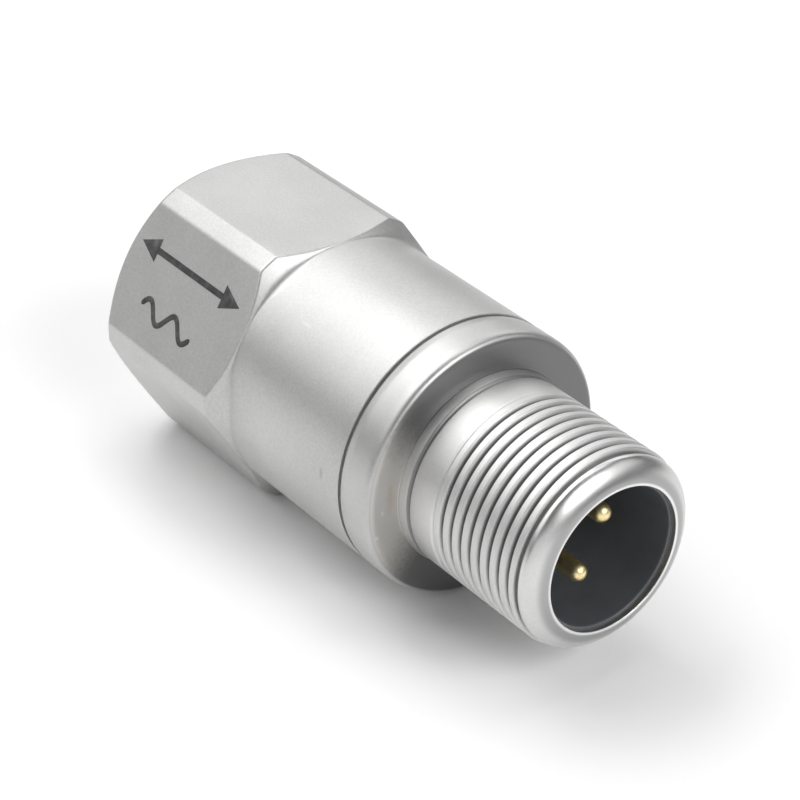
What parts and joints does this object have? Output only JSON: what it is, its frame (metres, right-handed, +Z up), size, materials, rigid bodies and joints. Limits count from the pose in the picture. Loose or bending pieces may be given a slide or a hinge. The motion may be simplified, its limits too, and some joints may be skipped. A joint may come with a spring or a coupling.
{
  "type": "vibration sensor",
  "caption": "Hexagon steel vibration sensor with a tapped mounting face at one end and a threaded pin connector at the other; a shear element and amplifier are sealed inside.",
  "frame": {"origin": "centre of the flat mounting face, on the sensing axis", "axes": "+X along the sensing axis from the mounting face to the connector; +Z up, with the sensor lying on one flat of its hexagon; +Y completes the frame"},
  "size_m": [0.0497, 0.0244, 0.022],
  "materials": {
    "blasted_steel": "bead-blasted stainless steel, satin grey",
    "turned_steel": "turned stainless steel, satin with a bright lip",
    "insert_black": "moulded black plastic",
    "pin_gold": "pale gold plating on brass",
    "spring_steel": "dark spring steel",
    "resin_amber": "cast epoxy resin",
    "alumina_white": "alumina ceramic",
    "sleeve_white": "white plastic film tube",
    "post_steel": "ground stainless steel",
    "piezo_ceramic": "poled piezo ceramic with electrodes",
    "mass_alloy": "heavy metal alloy, dark grey",
    "ring_steel": "hardened steel ring",
    "can_tin": "tinned sheet steel",
    "board_green": "glass-fibre circuit board with green resist",
    "chip_black": "moulded chip package",
    "capacitor_tan": "chip capacitor ceramic",
    "lead_bare": "tinned copper wire",
    "lead_red": "red wire insulation",
    "lead_blue": "blue wire insulation"
  },
  "bodies": {
    "root": {"housing": "blasted_steel", "connector_shell": "turned_steel", "pin_insert": "insert_black", "signal_pin": "pin_gold", "common_pin": "pin_gold", "snap_ring": "spring_steel", "sealing_resin": "resin_amber", "isolation_washer": "alumina_white", "insulating_sleeve": "sleeve_white", "element_post": "post_steel", "piezo_plate_1": "piezo_ceramic", "piezo_plate_2": "piezo_ceramic", "piezo_plate_3": "piezo_ceramic", "seismic_mass_1": "mass_alloy", "seismic_mass_2": "mass_alloy", "seismic_mass_3": "mass_alloy", "preload_ring": "ring_steel", "shield_can": "can_tin", "board_spacer": "alumina_white", "amplifier_board": "board_green", "amplifier_chip": "chip_black", "chip_capacitors": "capacitor_tan", "chip_resistors": "chip_black", "element_lead": "lead_bare", "signal_lead": "lead_red", "common_lead": "lead_blue"}
  },
  "joints": []
}
